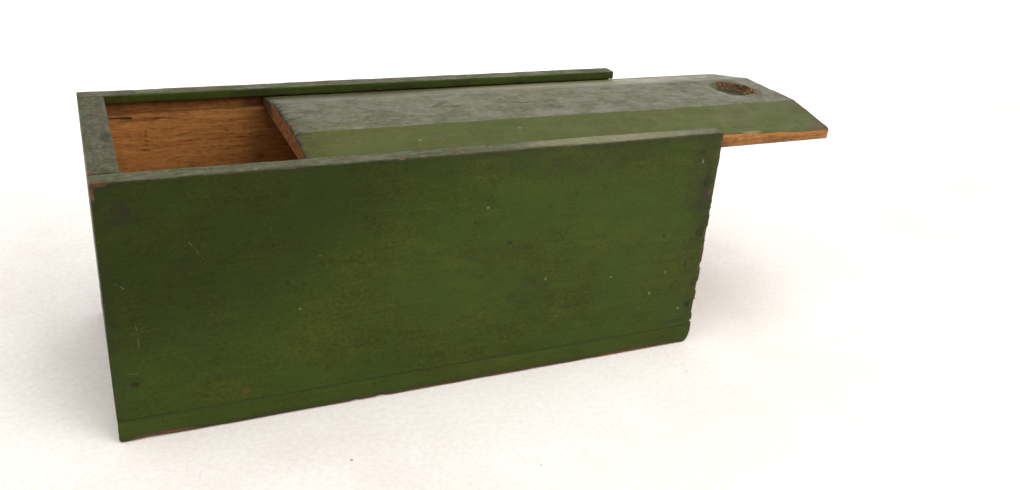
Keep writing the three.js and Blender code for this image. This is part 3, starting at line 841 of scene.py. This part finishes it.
def bottom_board(name, node, seed):
    """The board under the box. Its lower corners at the open end are worn round."""
    low, high = node_box(node)
    corners = [(low[1], low[2]), (high[1], low[2]), (high[1], high[2]), (low[1], high[2])]
    spots = sorted({round(float(m[0]), 2) for _, m, way in NAILS if way[2] < 0})
    stations, insets = end_stations(low[0], high[0], 0.4, 1.2, spots, 0.6, 3.0)
    stations_fine = np.concatenate([high[0] - np.array([6.0, 5.2, 4.6, 4.0, 3.4, 2.8, 2.2, 1.6, 1.1])])
    keep = (stations < high[0] - 6.3) | (stations > high[0] - 0.5)
    order = np.argsort(np.concatenate([stations[keep], stations_fine]))
    insets = np.concatenate([insets[keep], np.zeros(len(stations_fine))])[order]
    stations = np.concatenate([stations[keep], stations_fine])[order]
    fractions = even_fractions(np.array(corners), 1.2)
    places = repeat_corners(corners, len(stations))
    walk = np.stack([stations, stations * 0 + seed, stations * 0], -1)
    radii = np.full((len(stations), 4), 0.25)
    radii[:, :2] = (0.8 * (1 + 0.45 * noise(walk, (9.0, 1.0, 1.0), seed)))[:, None]
    for place, size, depth in ((-34.8, 1.5, 1.1), (-24.1, 1.8, 1.3), (70.0, 4.0, 0.5), (-112.0, 6.0, 0.8)):
        radii[:, 0] += depth * np.exp(-(((stations - place) / size) ** 2))
    grid, facing, arris = sweep(section_loops(places, radii, insets, fractions), stations, ALONG_X)

    x, y, z = grid[..., 0], grid[..., 1], grid[..., 2]
    sides = smooth_step(np.abs(facing[..., 1]), 0.3, 0.8)
    under = smooth_step(-facing[..., 2], 0.5, 0.9)
    over = (facing[..., 2] > 0.99) * (np.abs(y) < high[1] - 1.0)
    wave = planed(grid, seed + 2, ALONG_X)
    wave = np.where(facing[..., 2] < -0.5, np.minimum(wave, 0) - 0.02, wave)
    crushed = dimples(grid, facing) * under
    moved = grid + facing * (wave - crushed)[..., None]
    moved = ragged_end(moved, low[0], high[0], (), seed + 8, 0.4, 1)
    for end, sign, radius in ((high[0], 1, 5.0), (low[0], -1, 1.6)):
        drop = np.clip(radius - moved[..., 2], 0, radius)
        cut = radius - np.sqrt(np.clip(radius**2 - drop**2, 0, None))
        near = 1 - smooth_step(sign * (end - moved[..., 0]), 0.0, 6.5)
        moved[..., 0] -= sign * cut * near
    moved = kept_inside(moved, low, high)

    wear = 0.62 * (1 - smooth_step(z, 0.4, 1.7)) * sides
    wear += 0.66 * spot(grid, (-107.0, low[1], 0.2), (17.0, 2.0, 2.4), seed + 51, 0.6)
    wear += 0.50 * spot(grid, (10.0, low[1], 0.0), (60.0, 2.0, 1.4), seed + 52, 0.5)
    wear += 0.45 * spot(grid, (90.0, low[1], 0.0), (30.0, 2.0, 2.0), seed + 53, 0.5)
    wear += 0.40 * (1 - smooth_step(x - low[0], 0.3, 1.4)) * sides
    grime_and_shade = 0.55 * (1 - smooth_step(z, 0.5, 3.5)) * sides + 0.35 * under
    grime_and_shade += 0.5 * smooth_step(z, high[2] - 0.5, high[2] - 0.1) * sides
    for place in (-34.8, -24.1):
        grime_and_shade += 0.9 * spot(grid, (place, low[1], 0.9), (1.7, 2.0, 1.3), seed + 54, 0.2)
    grime_and_shade += 0.45 * nail_stain(grid) * under
    painted_joint = 1 - smooth_step(np.minimum(x - low[0], high[0] - x), 0.8, 2.0)
    bare = np.maximum(over * (1 - painted_joint), under * 0.9)
    arris = arris * (z < high[2] - 2)
    layers = {
        "bare": bare, "wear": np.clip(wear, 0, 1), "grime_and_shade": np.clip(grime_and_shade, 0, 1),
        "rub": np.zeros_like(x), "arris": arris,
    }
    piece = board_object(name, moved, layers, {"grime_and_shade": 0.3, "wear": 0.1})
    material = painted_wood(name + "_paint", ALONG_X, box_look(seed * 1.3))
    return dress(piece, material, "painted_boards", "carcass", node)


LID_MARKS = {
    "stains": [
        ((-50.0, 38.0, 97.0), (1.5, 16.0, 7.0)), ((-50.0, 9.0, 101.5), (1.5, 5.5, 1.8)),
        ((-50.0, -1.0, 102.3), (1.5, 5.5, 1.5)), ((-50.0, -13.0, 101.6), (1.5, 4.5, 1.6)),
        ((-50.0, -24.0, 100.6), (1.5, 6.5, 1.3)), ((-50.0, -3.0, 97.5), (1.5, 1.6, 1.2)),
        ((-50.0, -36.0, 98.6), (1.5, 5.5, 1.1)), ((-50.0, -17.0, 97.0), (1.5, 1.2, 1.4)),
    ],
    "pale": [
        ((-4.3, -13.5, 102.4), (1.2, 0.8, 2)), ((-4.2, -30.0, 100.0), (0.9, 0.8, 2)),
        ((144.0, -43.0, 97.5), (5.5, 1.0, 2)), ((40.0, -26.0, 101.0), (0.8, 0.6, 2)),
        # The long pale mark on the far bevel at (95, 34) is a painted highlight.
        ((95.0, 34.0, 99.5), (85.0, 12.0, 7)), ((158.5, 4.5, 101.0), (4.0, 5.5, 4)),
    ],
    "dark": [
        ((21.5, 1.2, 102.5), (2.2, 0.5, 2)), ((53.4, 1.0, 102.5), (3.0, 0.4, 2)),
        ((153.0, 14.5, 102.5), (2.6, 1.4, 2)), ((150.0, 8.0, 102.5), (2.0, 0.7, 2)),
        ((88.0, -9.0, 102.5), (1.5, 0.6, 2)), ((152.0, -3.0, 102.5), (1.8, 0.6, 2)),
    ],
}


def lid_board(name, node, seed):
    """The sliding lid: a flat field, two hand-planed bevels and the thumb notch."""
    low, high = node_box(node)
    edge_top = low[2] + LID_EDGE_THICKNESS
    notch_x = high[0] - NOTCH_CENTRE_FROM_END
    stations, insets = end_stations(
        low[0], high[0], 0.6, 1.1, (notch_x - 5, notch_x + 4, notch_x + 12), 0.34, 5.0
    )
    walk = np.stack([stations, stations * 0 + seed, stations * 0], -1)
    near_line = low[1] + LID_BEVEL_WIDTH + 0.5 * noise(walk, (60.0, 1.0, 1.0), seed)
    far_line = high[1] - LID_BEVEL_WIDTH + 0.6 * noise(walk, (45.0, 1.0, 1.0), seed + 1)
    full = np.ones_like(stations)
    outline = [
        (full * low[1], full * low[2]), (full * high[1], full * low[2]), (full * high[1], full * edge_top),
        (far_line, full * high[2]), (near_line, full * high[2]), (full * low[1], full * edge_top),
    ]
    places = np.stack([np.stack(pair, -1) for pair in outline], axis=1)
    radii = np.repeat(np.array([0.6, 0.6, 0.6, 2.6, 2.0, 0.6])[None], len(stations), axis=0)
    flat = places[0]
    fractions = even_fractions(flat, 1.1)
    field = abs(flat[4][0] - flat[3][0])
    fractions[3] = np.linspace(0, 1, int(field / 0.36))[1:-1]
    grid, facing, arris = sweep(section_loops(places, radii, insets, fractions), stations, ALONG_X)

    x, y, z = grid[..., 0], grid[..., 1], grid[..., 2]
    top_side = smooth_step(facing[..., 2], 0.3, 0.9)
    under = smooth_step(-facing[..., 2], 0.3, 0.9)
    rim = np.minimum(y - low[1], high[1] - y)
    clear_of_groove = smooth_step(rim, 4.5, 8.0)
    wave = planed(grid, seed + 2, ALONG_X, 0.11) - 0.10
    splits = np.zeros_like(x)
    for place, reach, width, depth in (
        ((low[0], -18.6), 2.4, 0.55, 1.0), ((low[0], -20.2), 6.0, 0.40, 0.6), ((low[0], -2.2), 3.4, 0.60, 1.1),
        ((low[0], 13.0), 1.6, 0.60, 0.6), ((low[0], -10.5), 1.6, 0.50, 0.4),
        ((21.5, 1.2), 3.0, 0.3, 0.35), ((53.4, 1.0), 4.0, 0.3, 0.3), ((138.4, 14.5), 2.5, 0.35, 0.35),
    ):
        lengthwise = np.exp(-(((x - place[0]) / reach) ** 2))
        drift = place[1] + 0.12 * noise(grid, (3.0, 400.0, 400.0), seed + 4)
        splits = np.maximum(splits, depth * lengthwise * np.exp(-(((y - drift) / width) ** 2)) * top_side)
    crumbled_end = smooth_step(noise(grid, (3.0, 2.8, 9.0), seed + 5), -0.3, 0.6)
    broken = 0.75 * crumbled_end * (1 - smooth_step(x - low[0], 0.2, 2.2)) * top_side

    u, v = x - notch_x, y - NOTCH_OFF_MIDDLE
    reach = np.hypot(u, v)
    torn = 0.55 * noise(grid, (40.0, 1.3, 40.0), seed + 6) + 0.30 * noise(grid, (40.0, 0.6, 40.0), seed + 7)
    rim_radius = NOTCH_RADIUS + torn
    down_ramp = u * math.cos(NOTCH_RAMP_WAY) + v * math.sin(NOTCH_RAMP_WAY)
    wall_side = smooth_step(down_ramp / np.maximum(reach, 1.0), 0.05, 0.45)
    rim_run = NOTCH_SOFT_RIM + (1.5 - NOTCH_SOFT_RIM) * wall_side
    inside_rim = 1 - smooth_step(reach, rim_radius - rim_run, rim_radius)
    ramp_share = np.clip((down_ramp - NOTCH_START) / NOTCH_RAMP_LENGTH, 0, 1)
    scoop = (0.30 + 0.70 * ramp_share) * inside_rim
    hollow = NOTCH_DEPTH * scoop * top_side
    near_side = smooth_step(-v, -5.0, 4.0)
    torn_width = 1.9 + 2.6 * near_side + 0.9 * noise(grid, (2.5, 1.2, 20.0), seed + 14)
    on_wall = smooth_step(reach, rim_radius - torn_width, rim_radius - torn_width + 0.7) * wall_side
    on_wall = on_wall * smooth_step(down_ramp, -1.0, 1.5)
    chipped_rim = rim_radius + 0.3 + 0.7 * noise(grid, (1.6, 1.6, 20.0), seed + 13)
    worn_rim = smooth_step(reach, rim_radius - 1.0, rim_radius) * (1 - smooth_step(reach, rim_radius + 1.0, rim_radius + 4.5))
    worn_rim = worn_rim * wall_side * top_side
    on_wall = on_wall * (1 - smooth_step(reach, chipped_rim - 0.4, chipped_rim + 0.2)) * top_side
    splinters = noise(grid, (1.3, 0.9, 1.1), seed + 9) + 0.8 * noise(grid, (0.7, 0.6, 0.8), seed + 10)
    hollow = hollow + 0.42 * splinters * on_wall

    moved = grid + facing * (wave * clear_of_groove - broken * clear_of_groove)[..., None]
    moved[..., 2] -= splits + hollow
    corner = LID_CORNER_RADIUS + 1.4
    for side, edge_at in ((-1, low[1]), (1, high[1])):
        inward = np.clip(corner - np.abs(edge_at - moved[..., 1]), 0, corner)
        cut = corner - np.sqrt(np.clip(corner**2 - inward**2, 0, None))
        near = 1 - smooth_step(high[0] - moved[..., 0], 0.0, 7.0)
        moved[..., 0] -= cut * near
    moved = kept_inside(ragged_end(moved, low[0], high[0], (), seed + 8, 0.35, 2), low, high)

    lip_strip = 1 - smooth_step(rim, 3.3, 4.3)
    toward_pull = smooth_step(x, 120.0, 182.0)
    strip = 1 - smooth_step(rim, 3.6 - 3.0 * toward_pull, 4.3 - 3.0 * toward_pull)
    bare = np.maximum(under, smooth_step(np.abs(facing[..., 1]), 0.6, 0.9))
    bare = np.maximum(bare, strip * (y < 0))
    wear = 0.40 * (1 - smooth_step(x - low[0], 0.3, 1.8)) * top_side
    wear += 0.45 * spot(grid, (high[0] - 4, low[1] + 4, edge_top), (9.0, 8.0, 4.0), seed + 50, 0.4)
    wear += 0.30 * smooth_step(x, high[0] - 3.0, high[0] - 0.5) * top_side
    wear += 0.42 * spot(grid, (180.0, -14.0, 100.0), (13.0, 22.0, 8.0), seed + 53, 0.5)
    wear += 0.40 * spot(grid, (-39.4, 4.9, high[2]), (5.5, 2.2, 2.0), seed + 51, 0.5)
    wear += 0.30 * spot(grid, (157.0, 15.0, high[2]), (8.0, 2.6, 2.0), seed + 52, 0.4)
    wear += 0.42 * worn_rim
    wear += 0.36 * smooth_step(scoop, 0.03, 0.10) * (1 - smooth_step(scoop, 0.35, 0.55)) * (u < 0)
    grime_and_shade = 0.9 * splits
    grime_and_shade += 0.6 * smooth_step(x, high[0] - 1.6, high[0] - 0.6) * top_side
    slanted = (grid - np.array((17.2, 5.8, high[2]))) @ np.array([[0.78, -0.62, 0], [0.62, 0.78, 0], [0, 0, 1]])
    blue = 1 - smooth_step(np.linalg.norm(slanted / np.array((8.2, 1.5, 4.0)), axis=-1), 0.5, 1.0)
    grime_and_shade += 0.75 * blue
    grime_and_shade += 0.35 * spot(grid, (-39.4, 4.9, high[2]), (7.5, 3.4, 2.0), seed + 54, 0.5)
    grime_and_shade += 0.55 * (1 - smooth_step(x - low[0], 0.5, 3.2)) * top_side * (y > 14)
    grime_and_shade += 0.25 * (1 - smooth_step(x - low[0], 1.0, 16.0)) * top_side
    grime_and_shade += 0.35 * strip * (1 - smooth_step(rim, 0.0, 2.0)) * (y < 0)
    grime_and_shade += 0.5 * lip_strip * (1 - toward_pull) * (y < 0)
    # Painted shade with some dirt: the deep part of the notch beside its wall is darkened.
    grime_and_shade += 0.90 * smooth_step(scoop, 0.50, 0.75) * (1 - on_wall)
    field_mask = top_side * smooth_step(facing[..., 2], 0.985, 0.999)
    field_mask = np.maximum(field_mask, top_side * (reach < NOTCH_RADIUS + 1.5))
    rub = top_side * (0.22 + 0.65 * field_mask + 0.60 * (y > high[1] - LID_BEVEL_WIDTH))
    arris = arris * top_side * 0.6
    # The torn layer is lower toward the notch's far side, where the shader paints shade on the torn wood.
    layers = {
        "bare": bare, "wear": np.clip(wear, 0, 1), "grime_and_shade": np.clip(grime_and_shade, 0, 1),
        "rub": rub, "arris": arris, "torn": on_wall * (0.55 + 0.45 * near_side),
    }
    piece = board_object(name, moved, layers, {"bare": 1.0, "grime_and_shade": 0.05})
    material = painted_wood(name + "_paint", ALONG_X, lid_look(seed * 1.3), LID_MARKS)
    return dress(piece, material, "painted_lid", "lid", node)


# ---------- nails ----------
def nail_piece(node, middle, facing, number, material):
    """A hand-cut nail: a hammered head just under the paint, and a tapering shank."""
    low, high = node_box(node)
    length = float(np.max(high - low))
    sides = sorted(high - low)[:2]
    shape = bmesh.new()
    bmesh.ops.create_cube(shape, size=1.0)
    bmesh.ops.scale(shape, vec=(sides[1], sides[0], 1.2), verts=shape.verts)
    bmesh.ops.translate(shape, vec=(0, 0, 0.6), verts=shape.verts)
    bmesh.ops.subdivide_edges(shape, edges=shape.edges, cuts=5, use_grid_fill=True)
    half = np.array([sides[1] / 2, sides[0] / 2])
    for vertex in shape.verts:
        across = np.abs(np.array(vertex.co.xy)) / half
        squareness = float(np.sum(across**5)) ** 0.2
        round_off = 1 - 0.16 * max(0.0, float(across[0] * across[1]))
        vertex.co.x *= round_off
        vertex.co.y *= round_off
        if vertex.co.z < 0.3:
            vertex.co.z += 0.28 * squareness**3
            place = np.array([[vertex.co.x + number * 7.0, vertex.co.y, 0.0]])
            vertex.co.z += 0.10 * float(noise(place, (1.1, 1.1, 1.1), 5)[0])
    bottom = [f for f in shape.faces if f.calc_center_median().z > 1.19 and f.normal.z > 0.9]
    inner = [f for f in bottom if abs(f.calc_center_median().x) < half[0] * 0.5 and abs(f.calc_center_median().y) < half[1] * 0.5]
    shank = bmesh.ops.extrude_face_region(shape, geom=inner)
    tip = [g for g in shank["geom"] if isinstance(g, bmesh.types.BMVert)]
    bmesh.ops.delete(shape, geom=inner, context="FACES_ONLY")
    for vertex in tip:
        vertex.co.z = length
        vertex.co.x *= 0.45
        vertex.co.y *= 0.8
    bmesh.ops.recalc_face_normals(shape, faces=shape.faces)
    mesh = bpy.data.meshes.new(node + "_iron")
    shape.to_mesh(mesh)
    shape.free()
    wide = Vector((1, 0, 0))
    spans = high - low
    if facing[2] != 0 and spans[1] > spans[0]:
        wide = Vector((0, 1, 0))
    inward = Vector(-facing)
    third = inward.cross(wide)
    turn = Matrix((wide, third, inward)).transposed().to_4x4()
    mesh.transform(Matrix.Translation(Vector(middle)) @ turn)
    mesh.transform(Matrix.Scale(MM, 4))
    for polygon in mesh.polygons:
        polygon.use_smooth = True
    piece = bpy.data.objects.new(node + "_iron", mesh)
    bpy.context.scene.collection.objects.link(piece)
    return dress(piece, material, "nail_iron", "carcass", node)


# ---------- stage ----------
def make_floor():
    bpy.ops.mesh.primitive_plane_add(size=9.0, location=(0, 0, -0.0001))
    floor = bpy.context.object
    floor.name = "floor"
    material, tree, surface, place = new_shader("pale_paper", 0.85, 0.2)
    cloud = texture_noise(tree, place, (60, 60, 60), 4.0, 0.6, 3.0)
    fibre = texture_noise(tree, place, (2.4, 2.4, 2.4), 5.0, 0.85, 5.0)
    tone = weighted(tree, (cloud, 0.36), (fibre, 0.64))
    paper = colours(tree, tone, [(0.40, (0.77, 0.725, 0.690)), (0.60, (0.88, 0.855, 0.835))])
    dirt = calc(tree, "MULTIPLY", specks(tree, place, 17.0, 0.050, 0.40, 8.0), 0.65)
    paper = mix(tree, dirt, paper, (0.20, 0.15, 0.11))
    tree.links.new(paper, surface.inputs["Base Color"])
    floor.data.materials.append(material)


def add_light(name, place, target, size, power, colour):
    data = bpy.data.lights.new(name, "AREA")
    data.shape = "RECTANGLE"
    data.size, data.size_y = size
    data.energy = power
    data.color = colour
    light = bpy.data.objects.new(name, data)
    light.location = place
    aim = Vector(target) - Vector(place)
    light.rotation_euler = aim.to_track_quat("-Z", "Y").to_euler()
    bpy.context.scene.collection.objects.link(light)
    return data


def light_stage():
    world = bpy.data.worlds.new("white_studio")
    bpy.context.scene.world = world
    world.use_nodes = True
    tree = world.node_tree
    background = next(n for n in tree.nodes if n.type == "BACKGROUND")
    background.inputs["Color"].default_value = (1.0, 0.985, 0.965, 1.0)
    way = put(tree, "ShaderNodeTexCoord").outputs["Generated"]
    parts = put(tree, "ShaderNodeSeparateXYZ", {0: way})
    behind = ramp(tree, parts.outputs["Y"], 0.0, 0.85)
    low_down = ramp(tree, parts.outputs["Z"], 0.40, 0.75, 1.0, 0.0)
    sideways = ramp(tree, parts.outputs["X"], 0.0, 0.6, 1.0, 1.35)
    glow = calc(tree, "MULTIPLY", calc(tree, "MULTIPLY", behind, low_down), sideways)
    tree.links.new(weighted(tree, (glow, 1.02), (1.0, 0.44)), background.inputs["Strength"])
    middle = (0.0, 0.0, 0.05)
    add_light("overhead", (0.02, -0.35, 1.2), middle, (0.9, 0.9), 8.5, (1.0, 0.965, 0.925))
    add_light("front", (0.45, -1.0, 0.85), middle, (0.7, 0.5), 5.0, (1.0, 0.975, 0.945))
    add_light("right", (0.60, -0.55, 0.32), middle, (0.5, 0.5), 2.5, (1.0, 0.98, 0.95))
    add_light("left", (-0.80, 0.00, 0.85), (-0.15, 0.0, 0.0), (1.1, 1.1), 2.8, (1.0, 0.975, 0.955))
    backdrop_light = add_light(
        "backdrop", (0.45, 0.98, 1.2), (0.45, 0.97, 0.0), (3.2, 1.1), 17.0, (0.97, 1.0, 1.03)
    )
    backdrop_light.spread = math.radians(50)


# ---------- camera ----------
CAMERA_PLACE = (-0.1247, -0.3644, 0.2250)
CAMERA_AZIMUTH = 25.91
CAMERA_ELEVATION = 25.17
CAMERA_ROLL = 4.65
CAMERA_LENS = 34.17
SENSOR_WIDTH = 36.0


def add_camera():
    data = bpy.data.cameras.new("camera")
    data.sensor_width = SENSOR_WIDTH
    data.lens = CAMERA_LENS
    data.clip_start = 0.01
    camera = bpy.data.objects.new("camera", data)
    turn = Matrix.Rotation(math.radians(-CAMERA_AZIMUTH), 4, "Z")
    tilt = Matrix.Rotation(math.radians(90 - CAMERA_ELEVATION), 4, "X")
    roll = Matrix.Rotation(math.radians(CAMERA_ROLL), 4, "Z")
    camera.matrix_world = Matrix.Translation(CAMERA_PLACE) @ turn @ tilt @ roll
    bpy.context.scene.collection.objects.link(camera)
    bpy.context.scene.camera = camera


bpy.context.scene.view_settings.view_transform = "Standard"
add_camera()
light_stage()
make_floor()
side_board("front_board", "front_side", -1, 11)
side_board("back_board", "back_side", 1, 23)
end_board("stop_end_board", "stop_end", -1, 37, True)
end_board("low_end_board", "low_end", 1, 41, False)
bottom_board("base_board", "bottom_board", 53)
lid_board("lid_board", "sliding_lid", 67)
iron = nail_material()
for count, (nail_node, head_middle, head_facing) in enumerate(NAILS):
    nail_piece(nail_node, head_middle, head_facing, count, iron)
